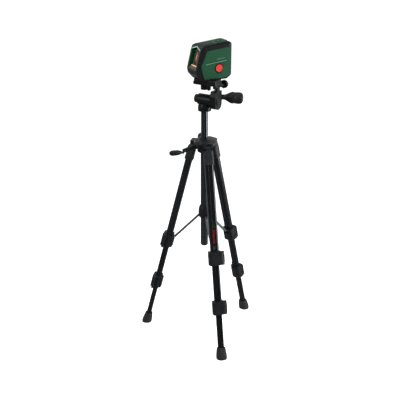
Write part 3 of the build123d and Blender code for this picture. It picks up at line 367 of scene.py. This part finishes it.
for tag, azimuth in LEG_AZIMUTH.items():
    down = leg_axes(azimuth)[1]
    MATERIALS["upper_" + tag] = metal(
        "anodised_upper_" + tag, base=(0.050, 0.053, 0.059), rough=0.16,
        direction=down, metallic=0.80, scratch=0.25)
    # the struts' lines run level, along the leg's azimuth
    MATERIALS["strut_" + tag] = metal(
        "pressed_strut_" + tag, base=(0.20, 0.205, 0.215), rough=0.36,
        direction=outward(azimuth), metallic=0.75)
    MATERIALS["lower_" + tag] = metal(
        "anodised_lower_" + tag, base=(0.0375, 0.0397, 0.0445), rough=0.20,
        direction=down, metallic=0.80, scratch=0.25)

# CAD piece: material
FINISH = {
    "shoulder": "shoulder", "leg_pins": "dark_steel", "guide_tube": "column",
    "spreader_hub": "hub", "column_tube": "column", "column_rack": "rack",
    "crank_pinion": "steel", "crank_arm": "head", "crank_knob": "grip",
    "column_lock_knob": "knob", "head_base": "head", "tilt_lock_knob": "knob",
    "tilt_arm": "head", "pan_handle": "grip", "platform": "head", "flip_lock_knob": "knob",
    "camera_screw": "knob", "laser_housing": "shell", "laser_chassis": "shell",
    "side_panels": "green", "front_bezel": "green", "window_glass": "window",
    "sill_lens": "sill", "mode_button": "red", "lock_switch": "red",
    "battery_cover": "shell", "battery_cells": "cell", "gimbal_ring": "alu",
    "pendulum": "brass", "circuit_board": "board",
}
for tag in LEG_AZIMUTH:
    FINISH.update({
        "socket_" + tag: "socket", "upper_tube_" + tag: "upper_" + tag,
        "mid_tube_" + tag: "lower_" + tag, "lower_tube_" + tag: "lower_" + tag,
        "clamp_upper_" + tag: "clamp", "clamp_lower_" + tag: "clamp",
        "lever_upper_" + tag: "lever", "lever_lower_" + tag: "lever",
        "foot_" + tag: "foot", "strut_" + tag: "strut_" + tag,
    })
for piece, key in FINISH.items():
    slots = NODES[piece].data.materials
    slots.clear()
    slots.append(MATERIALS[key])


# ---------------------------------------------------------------------------
# mesh tools: everything is drawn in local millimetres, then placed
# ---------------------------------------------------------------------------
def add_object(name, data):
    made = bpy.data.objects.new(name, data)
    bpy.context.scene.collection.objects.link(made)
    return made


def add_piece(name, bm, matrix, material, body, bevel=0.0, slot=None, angle=35, smooth=True):
    """Place a drawn mesh, soften its edges and tie it to its body."""
    bmesh.ops.remove_doubles(bm, verts=bm.verts, dist=1e-5)
    bmesh.ops.recalc_face_normals(bm, faces=bm.faces)
    bmesh.ops.transform(bm, matrix=matrix, verts=bm.verts)
    mesh = bpy.data.meshes.new(name)
    bm.to_mesh(mesh)
    bm.free()
    if matrix.to_3x3().determinant() < 0:
        mesh.flip_normals()
    for face in mesh.polygons:
        face.use_smooth = smooth
    mesh.materials.append(MATERIALS[material])
    made = add_object(name, mesh)
    if bevel:
        rounding = made.modifiers.new("round", "BEVEL")
        rounding.width = bevel / 1000
        rounding.segments = 3
        rounding.limit_method = "ANGLE"
        rounding.angle_limit = radians(angle)
        rounding.harden_normals = True
        rounding.use_clamp_overlap = True
    elif smooth:
        made.modifiers.new("split", "EDGE_SPLIT").split_angle = radians(angle)
    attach(made, body)
    return made


def level(bm, outline, z):
    """Vertices of an outline at one height."""
    return [bm.verts.new((x, y, z)) for x, y in outline]


def bridge(bm, first, second):
    """Quads between two closed loops."""
    count = len(first)
    for i in range(count):
        j = (i + 1) % count
        bm.faces.new((first[i], first[j], second[j], second[i]))


def circle(radius, segments):
    angles = [2 * pi * i / segments for i in range(segments)]
    return [(radius * cos(angle), radius * sin(angle)) for angle in angles]


def rounded(width, height, radius, steps=5, centre=(0.0, 0.0)):
    """Rectangle outline with round corners."""
    points = []
    for k, (sx, sy) in enumerate(((1, 1), (-1, 1), (-1, -1), (1, -1))):
        for i in range(steps + 1):
            angle = pi / 2 * (k + i / steps)
            points.append((centre[0] + sx * (width / 2 - radius) + radius * cos(angle),
                           centre[1] + sy * (height / 2 - radius) + radius * sin(angle)))
    return points


def band(points, half_width):
    """Outline of a thin band along a polyline, with square ends."""
    left, right = [], []
    for i, (x, y) in enumerate(points):
        before, after = points[max(i - 1, 0)], points[min(i + 1, len(points) - 1)]
        dx, dy = after[0] - before[0], after[1] - before[1]
        length = hypot(dx, dy)
        nx, ny = -dy / length * half_width, dx / length * half_width
        left.append((x + nx, y + ny))
        right.append((x - nx, y - ny))
    return left + right[::-1]


def prism(name, outline, low, high, matrix, material, body, **finish):
    """Outline extruded along local z."""
    bm = bmesh.new()
    bottom, top = level(bm, outline, low), level(bm, outline, high)
    bm.faces.new(bottom[::-1])
    bm.faces.new(top)
    bridge(bm, bottom, top)
    return add_piece(name, bm, matrix, material, body, **finish)


def lathe(name, profile, matrix, material, body, segments=48, **finish):
    """Profile of (radius, height) turned about local z; it may end on the axis."""
    bm = bmesh.new()
    rings = [level(bm, circle(radius, segments), z) if radius else [bm.verts.new((0, 0, z))]
             for radius, z in profile]
    for ring, following in zip(rings, rings[1:]):
        if len(following) > 1:
            bridge(bm, ring, following)
        else:
            for i in range(segments):
                bm.faces.new((ring[i], ring[(i + 1) % segments], following[0]))
    return add_piece(name, bm, matrix, material, body, **finish)


def plate(name, outer, inner, low, high, matrix, material, body, **finish):
    """Flat frame between two outlines with the same number of points."""
    bm = bmesh.new()
    loops = [level(bm, outline, z)
             for outline, z in ((outer, low), (outer, high), (inner, high), (inner, low))]
    for k in range(4):
        bridge(bm, loops[k], loops[(k + 1) % 4])
    return add_piece(name, bm, matrix, material, body, **finish)


def strip(name, path, width, low, high, material, body, **finish):
    """Rectangular bar through stations of (point, width direction, height direction)."""
    bm = bmesh.new()
    half = width / 2
    corners = ((-half, low), (half, low), (half, high), (-half, high))
    sections = []
    for station in path:
        point, across, off = (Vector(v) for v in station)
        sections.append([bm.verts.new(point + across * a + off * h) for a, h in corners])
    for section, following in zip(sections, sections[1:]):
        bridge(bm, section, following)
    bm.faces.new(sections[0][::-1])
    bm.faces.new(sections[-1])
    return add_piece(name, bm, up_frame(), material, body, **finish)


def cross_screw(name, radius, height, matrix, body):
    """Pan-head screw with a cross recess, sitting on local z = 0."""
    bm = bmesh.new()
    segments = 24
    # shares of the head's radius and height
    profile = [(1, 0), (1, 0.35), (0.86, 0.8), (0.55, 1)]
    rings = [level(bm, circle(radius * r, segments), height * z) for r, z in profile]
    for ring, following in zip(rings, rings[1:]):
        bridge(bm, ring, following)
    # a four-armed star just under the crown, then its sunken floor
    star = []
    for i in range(segments):
        angle = 2 * pi * i / segments
        reach = radius * (0.50 if i % 6 in (0, 1, 5) else 0.20)
        star.append(bm.verts.new((reach * cos(angle), reach * sin(angle), height * 0.98)))
    sunk = [bm.verts.new((v.co.x * 0.85, v.co.y * 0.85, height * 0.35)) for v in star]
    crown = rings[-1]
    for i in range(segments):
        j = (i + 1) % segments
        bm.faces.new((crown[i], crown[j], star[j], star[i]))
        bm.faces.new((star[i], star[j], sunk[j], sunk[i]))
    bm.faces.new(sunk)
    bm.faces.new(rings[0][::-1])
    return add_piece(name, bm, matrix, "dark_steel", body, angle=40)


# ---------------------------------------------------------------------------
# laser details
# ---------------------------------------------------------------------------
GREEN = {"body": "laser", "slot": "panel_green"}
GREY = {"body": "laser", "slot": "shell_grey"}
RED_GLASS = {"body": "laser", "slot": "window_red"}
SIDES = ((1, "right"), (-1, "left"))

# side panel lines as (y, z)
PANEL_HALF_WIDTH = 33.5
LONG_STRIPE = [(-13, 943.0), (-6, 944.6), (20, 947.4), (45, 950.0), (60, 951.2)]
SHORT_STRIPE = [(26, 957.6), (54, 960.2)]
PANEL_FRONT_EDGE = [(-5.5, 983.6), (-26.4, 937.6), (-15.8, 898.6)]


def side_panel_lines(side, tag):
    """Two printed stripes, and a raised bent line down the panel's front."""
    # x to the rear, y up, z out of the panel
    panel = frame_at(place(side * PANEL_HALF_WIDTH, 0, 0), (0, 1, 0), UP, (side, 0, 0))
    prism("panel_stripe_" + tag, band(LONG_STRIPE, half_width=0.75), -0.2, 0.22,
          panel, "stripe", **GREEN)
    prism("panel_short_stripe_" + tag, band(SHORT_STRIPE, half_width=0.6), -0.2, 0.2,
          panel, "stripe", **GREEN)
    prism("panel_edge_" + tag, band(PANEL_FRONT_EDGE, half_width=0.5), -0.1, 0.35,
          panel, "green", bevel=0.2, **GREEN)


# button profiles as (radius, height off the right side)
BUTTON_CENTRE = (33.4, 33.7, 928.7)
COLLAR_PROFILE = [(12.35, -1.5), (12.35, 0.9), (13.2, 1.5), (15.0, 0.9), (15.6, 0.0),
                  (15.6, -1.5)]
CAP_PROFILE = [(12.1, -4.5), (12.1, 0.9), (11.6, 1.7), (10.6, 2.0), (9.8, 1.7), (9.2, 1.35),
               (6.0, 1.75), (3.0, 1.95), (0, 2.0)]


def round_button():
    """Collar, and a domed cap with a raised rim."""
    face = frame_at(place(*BUTTON_CENTRE), (0, 1, 0), UP, (1, 0, 0))
    lathe("button_collar", COLLAR_PROFILE, face, "dark_gap", segments=64, angle=30, **GREY)
    cap = lathe("button_cap", CAP_PROFILE, face, "red", "button", segments=64,
                slot="button_red", angle=50)
    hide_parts("mode_button")


ROOF_ANGLE = radians(5.38)
ROOF_HEIGHT = 1001.5 + 17.5 * 0.0942  # at y = 0; 1001.5 at y = -17.5, rising 0.0942 per mm
DISPLAY_CENTRE = (0, 8)
ROOF_LENS_Y = 47
# (radius, height off the roof)
LENS_RING_PROFILE = [(9.5, -0.2), (9.5, 1.6), (8.7, 2.1), (7.4, 2.0), (6.6, 1.2), (6.4, -0.2)]
LENS_PROFILE = [(6.5, 0.6), (6.5, 1.0), (4.5, 1.5), (2.2, 1.8), (0, 1.9)]


def roof_frame(y=0.0):
    """x to the right, y rearward up the roof's slope, z off the roof."""
    normal = Vector((0, -sin(ROOF_ANGLE), cos(ROOF_ANGLE)))
    along = Vector((0, cos(ROOF_ANGLE), sin(ROOF_ANGLE)))
    return frame_at(place(0, 0, ROOF_HEIGHT) + along * y / 1000, (1, 0, 0), along, normal)


def roof_parts():
    """Green inlay, dark display and upward lens."""
    roof = roof_frame()
    prism("roof_inlay", rounded(width=47, height=81, radius=9, steps=7, centre=(0, 30.5)),
          -0.6, 0.9, roof, "green", bevel=0.7, **GREEN)
    prism("display_frame", rounded(width=38.5, height=26.5, radius=4, centre=DISPLAY_CENTRE),
          -0.5, 1.3, roof, "dark_gap", bevel=0.25, **GREY)
    prism("display_glass", rounded(width=34.5, height=22.5, radius=3, centre=DISPLAY_CENTRE),
          0.2, 1.5, roof, "display", bevel=0.3, **RED_GLASS)
    lens_seat = roof_frame(ROOF_LENS_Y)
    lathe("roof_lens_ring", LENS_RING_PROFILE, lens_seat, "shell", **GREY)
    lathe("roof_lens", LENS_PROFILE, lens_seat, "lens", angle=60, **RED_GLASS)


# leaning front face as (z, y)
NOSE = [(927.0, -46.5), (984.0, -31.5), (996.5, -26.5)]
NOSE_HALF_WIDTH = 26.4
LIP_X = [-NOSE_HALF_WIDTH, -20, -13, -6, -2, 0, 2, 6, 13, 20, NOSE_HALF_WIDTH]
LIP_EAVE, LIP_RISE = 988.0, 8.3  # height at the sides, and the gable's rise to the middle
LIP_TILT = 0.26  # how far the lip's width leans to the middle as it runs down
NOSE_EDGE_Z = (933, 945, 957, 970, 983.5, 986.6)


def nose_station(x, z, across_x, across_z):
    """Station for a strip on the nose, its width direction laid into the face."""
    (z0, y0), (z1, y1) = NOSE[:2] if z < NOSE[1][0] else NOSE[1:]
    normal = Vector((0, -(z1 - z0), y1 - y0)).normalized()
    across = Vector((across_x, 0, across_z))
    across = (across - normal * across.dot(normal)).normalized()
    return (x, y0 + (y1 - y0) * (z - z0) / (z1 - z0), z), across, normal


def nose_trim():
    """Gabled lip over the nose in pale green, a painted highlight, and an upright edge down each
    side in lighter green, painted light.
    """
    slope = LIP_RISE / NOSE_HALF_WIDTH
    gable = []
    for x in LIP_X:
        tilt = -LIP_TILT if x > 0 else LIP_TILT if x < 0 else 0
        gable.append(nose_station(x, LIP_EAVE + slope * (NOSE_HALF_WIDTH - abs(x)), tilt, -1))
    strip("nose_lip", gable, width=3.2, low=-1.2, high=0.8, material="green_highlight",
          bevel=0.45, **GREEN)
    for side, tag in SIDES:
        edge = [nose_station(side * NOSE_HALF_WIDTH, z, -side, 0) for z in NOSE_EDGE_Z]
        strip("nose_edge_" + tag, edge, width=1.9, low=-1.0, high=0.3, material="green_lit",
              bevel=0.4, **GREEN)


PANE_LEAN = 0.2576  # rearward per unit of height
PANE_Y, PANE_Z = -30.0 + PANE_LEAN * 31.5, 957.5
MASK_CENTRE = (0, 2.4)


def window_mask():
    """Green frame in front of the leaning window pane, in the lighter green that paints light on
    it.
    """
    pane = frame_at(place(0, PANE_Y, PANE_Z), (1, 0, 0), (0, PANE_LEAN, 1), (0, -1, PANE_LEAN))
    plate("window_mask", rounded(width=46.4, height=49.4, radius=3, centre=MASK_CENTRE),
          rounded(width=33.4, height=44.2, radius=3, centre=MASK_CENTRE), 2.5, 3.5,
          pane, "green_lit", bevel=0.3, **GREEN)


RIB_COUNT, RIB_BOTTOM_Z, RIB_PITCH = 5, 940.0, 4.4
DOOR_Y, DOOR_Z = 79.0, 915.2  # a point on the door's rear face
DOOR_LEAN, DOOR_LEAN_HEIGHT = 0.6, 46.6  # the face moves back this much over this height


def door_ribs():
    """Grip ribs on the battery door."""
    for i in range(RIB_COUNT):
        z = RIB_BOTTOM_Z + RIB_PITCH * i
        y = DOOR_Y + DOOR_LEAN * (z - DOOR_Z) / DOOR_LEAN_HEIGHT
        prism("door_rib_%d" % i, rounded(width=22.0, height=1.8, radius=0.85, steps=4),
              -0.4, 0.8, frame_at(place(0, y, z), (-1, 0, 0), UP, (0, 1, 0)), "shell",
              "battery_door", bevel=0.3, slot="shell_grey")


SILL_X = (-23.6, -23, -12, 0, 12, 23, 23.6)
SILL_Y, SILL_Z = -33.6, 935.4


def sill_line():
    """Painted highlight: a pale glowing strip along the sill's rear edge."""
    crest = [((x, SILL_Y, SILL_Z), (0, 1, 0), UP) for x in SILL_X]
    strip("sill_line", crest, width=2.6, low=-0.8, high=0.9, material="sill_line",
          body="laser", bevel=0.4, slot="sill_amber")


for side, tag in SIDES:
    side_panel_lines(side, tag)
round_button()
roof_parts()
nose_trim()
window_mask()
door_ribs()
sill_line()

# ---------------------------------------------------------------------------
# tripod details
# ---------------------------------------------------------------------------
# clamp half width, distance down the leg, body prefix
CLAMPS = ((14.0, 360.0, "leg_"), (12.1, 525.0, "mid_leg_"))
CLAMP_HOUSING = 7.0  # housing beyond the clamp's half width
CLAMP_SCREW_OFFSETS = (-10, 10)


def clamp_screws(tag, azimuth):
    """Screws in the clamps' housings, on the clockwise side."""
    hinge, down, out, across = leg_axes(azimuth)
    for k, (half_width, distance, prefix) in enumerate(CLAMPS):
        for i, offset in enumerate(CLAMP_SCREW_OFFSETS):
            seat = hinge + (down * (distance + offset) + out * LEG_SHIFT
                            - across * (half_width + CLAMP_HOUSING)) / 1000
            cross_screw("clamp_screw_%s%d%d" % (tag, k, i), radius=2.6, height=1.3,
                        matrix=frame_at(seat, down, out, -across), body=prefix + tag)


STRUT_ANGLE = radians(43.877)  # from straight down
STRUT_HUB_RADIUS, STRUT_HUB_HEIGHT = 20.0, 426.0
# distance from the hub, rivet radius, sideways offset, material: leg end, then hub end
STRUT_RIVETS = ((119.483, 2.5, 4.6, "rivet"), (0.0, 2.2, 4.2, "dark_steel"))


def strut_rivets(tag, azimuth):
    """Domed rivets on both faces of the strut, at both its ends."""
    along = outward(azimuth) * sin(STRUT_ANGLE) - UP * cos(STRUT_ANGLE)
    hub_end = outward(azimuth) * STRUT_HUB_RADIUS + UP * STRUT_HUB_HEIGHT
    for k, (distance, radius, offset, material) in enumerate(STRUT_RIVETS):
        dome = [(radius, -0.4), (radius, 0.35), (radius * 0.8, 0.9), (radius * 0.4, 1.2),
                (0, 1.25)]
        for side, side_tag in ((1, "p"), (-1, "m")):
            off = around(azimuth) * side
            seat = place(*(hub_end + along * distance + off * offset))
            lathe("strut_rivet_%s%d%s" % (tag, k, side_tag), dome,
                  frame_at(seat, along, off.cross(along), off), material,
                  "spreader_strut_" + tag, segments=24, slot="steel_bright", angle=60)


LABEL_OUT = 10.3  # label face outside the leg's centre line
LABEL_CLOCKWISE = 1.6
# name, start and end down the leg, width, material
LABELS = (
    ("leg_label_back", 232, 332, 12.6, "dark_gap"),
    ("leg_label_green", 235, 258, 10.0, "label_green"),
    ("leg_label_red", 265, 310, 11.4, "label_red"),
    ("leg_label_grey", 318, 329, 9.6, "label_grey"),
)


def leg_label():
    """Plain coloured label plates down leg a."""
    hinge, down, out, across = leg_axes(LEG_AZIMUTH["a"])
    seat = hinge + (out * (LABEL_OUT + LEG_SHIFT) - across * LABEL_CLOCKWISE) / 1000
    face = frame_at(seat, across, -down, out)
    for name, start, end, width, material in LABELS:
        outline = rounded(width, height=end - start, radius=1.6, steps=4,
                          centre=(0, -(start + end) / 2))
        prism(name, outline, -0.05, 0.35, face, material, "leg_a", bevel=0.12,
              slot="tube_black")


TICK_COUNT, TICK_STEP = 36, 10.0  # degrees between ticks
TICKS_PER_LONG = 9
SCALE_RADIUS, SCALE_HEIGHT = 21.28, 791.2
TICK_HALF_WIDTH, TICK_BOTTOM, TICK_TOP, LONG_TICK_TOP = 0.25, -1.2, 0.4, 1.2


def pan_scale():
    """Degree ticks round the base under the head."""
    for i in range(TICK_COUNT):
        top = TICK_TOP if i % TICKS_PER_LONG else LONG_TICK_TOP
        outline = [(-TICK_HALF_WIDTH, TICK_BOTTOM), (TICK_HALF_WIDTH, TICK_BOTTOM),
                   (TICK_HALF_WIDTH, top), (-TICK_HALF_WIDTH, top)]
        prism("pan_tick_%02d" % i, outline, -0.1, 0.12,
              axis_frame(TICK_STEP * i, SCALE_RADIUS, SCALE_HEIGHT), "tick", "pan_base",
              smooth=False)


def head_and_crank_screws():
    """Screws in the tilt arm's cap and in the crank's hub."""
    cross_screw("arm_cap_screw", radius=4.2, height=2.2, body="tilt_head",
                matrix=axis_frame(HEAD_AZIMUTH, out=54.0, height=825.0))
    cross_screw("crank_screw", radius=3.4, height=1.8, body="crank",
                matrix=axis_frame(CRANK_AZIMUTH, out=48.5, height=677.0, left=17.75))


def platform_pad():
    """Rubber pad on the platform."""
    outline = rounded(width=79.6, height=46.6, radius=8.2, steps=6, centre=(10.5, 0))
    prism("platform_pad", outline, 0.0, 3.6, up_frame(889.2, HEAD_AZIMUTH), "pad",
          "camera_platform", bevel=0.5, slot="rubber_black")


for tag, azimuth in LEG_AZIMUTH.items():
    clamp_screws(tag, azimuth)
    strut_rivets(tag, azimuth)
leg_label()
pan_scale()
head_and_crank_screws()
platform_pad()

# ---------------------------------------------------------------------------
# stage: pale floor, soft light, camera (metres)
# ---------------------------------------------------------------------------
TO_CAMERA = Vector((0.8826, -0.4700, 0))
TO_RIGHT = Vector((-TO_CAMERA.y, TO_CAMERA.x, 0))  # as the camera sees it
LIGHT_CENTRE = Vector((0, 0, 0.55))


def add_floor():
    """Floor that looks evenly pale but lights the scene only from behind."""
    bm = bmesh.new()
    bmesh.ops.create_grid(bm, x_segments=1, y_segments=1, size=40.0)
    mesh = bpy.data.meshes.new("floor")
    bm.to_mesh(mesh)
    bm.free()
    floor = add_object("floor", mesh)
    g = material_graph("floor_pale")
    mottle = g.noise(scale=3.0, detail=3.0, rough=0.55)
    ray = g.node("LightPath").outputs
    pale = g.mix(g.remap(mottle, (0.3, 0.7)), (0.86, 0.86, 0.86), (0.90, 0.90, 0.90))
    position = g.node("NewGeometry").outputs["Position"]
    behind = g.remap(g.dot(position, TO_CAMERA), (-1.2, 0.2), (0.28, 0.0))
    g.shade({
        "Base Color": g.mix(ray["Is Glossy Ray"], pale, (0.16, 0.16, 0.165)),
        "Roughness": 0.9,
        "Specular IOR Level": 0.1,
        "Emission Color": (1, 1, 1, 1),
        "Emission Strength": g.mix_value(ray["Is Camera Ray"], behind, 0.90)})
    mesh.materials.append(g.owner)


def add_world():
    """White to the camera; for other rays brighter behind the object than in front."""
    world = bpy.data.worlds.new("studio")
    bpy.context.scene.world = world
    g = Graph(world, shader="Background", output="OutputWorld")
    facing = g.dot(g.coord.outputs["Generated"], TO_CAMERA)
    light = g.remap(facing, (-0.80, 0.10), (0.50, 0.05))
    is_camera = g.node("LightPath").outputs["Is Camera Ray"]
    g.shade({"Color": (1, 1, 1, 1), "Strength": g.mix_value(is_camera, light, 1.0)})


def area(name, toward, right, up, size, power, target_up=0.0):
    """Rectangular light placed from LIGHT_CENTRE and aimed at it, or above it."""
    light = bpy.data.lights.new(name, "AREA")
    light.shape = "RECTANGLE"
    light.size, light.size_y = size
    light.energy = power
    lamp = add_object(name, light)
    lamp.location = LIGHT_CENTRE + TO_CAMERA * toward + TO_RIGHT * right + UP * up
    aim = LIGHT_CENTRE + UP * target_up - lamp.location
    lamp.rotation_euler = aim.to_track_quat("-Z", "Y").to_euler()


def add_camera():
    """Camera set in front of the axis at -Y, then swung round it."""
    camera = bpy.data.cameras.new("camera")
    holder = add_object("camera", camera)
    swing = Matrix.Rotation(radians(62.0), 3, "Z")
    pitch, yaw = radians(21.37), radians(-0.26)
    view = swing @ Vector((sin(yaw) * cos(pitch), cos(yaw) * cos(pitch), -sin(pitch)))
    holder.location = place(*(swing @ Vector((-1.8, -2800.0, 1577.0))))
    holder.rotation_euler = view.to_track_quat("-Z", "Y").to_euler()
    camera.sensor_width = 36.0
    camera.lens = 81.612
    camera.clip_end = 100
    bpy.context.scene.camera = holder


add_floor()
add_world()
area("key_left", toward=1.4, right=-1.9, up=1.2, size=(0.8, 1.7), power=20, target_up=0.2)
area("rim_right", toward=0.1, right=1.8, up=0.1, size=(1.2, 2.0), power=40)
area("top_soft", toward=0.5, right=0, up=2.2, size=(2.0, 2.0), power=22)
area("back_left", toward=-1.6, right=-1.3, up=0.8, size=(0.4, 1.8), power=10)
add_camera()
bpy.context.scene.view_settings.view_transform = "Standard"
bpy.context.scene.view_settings.look = "None"
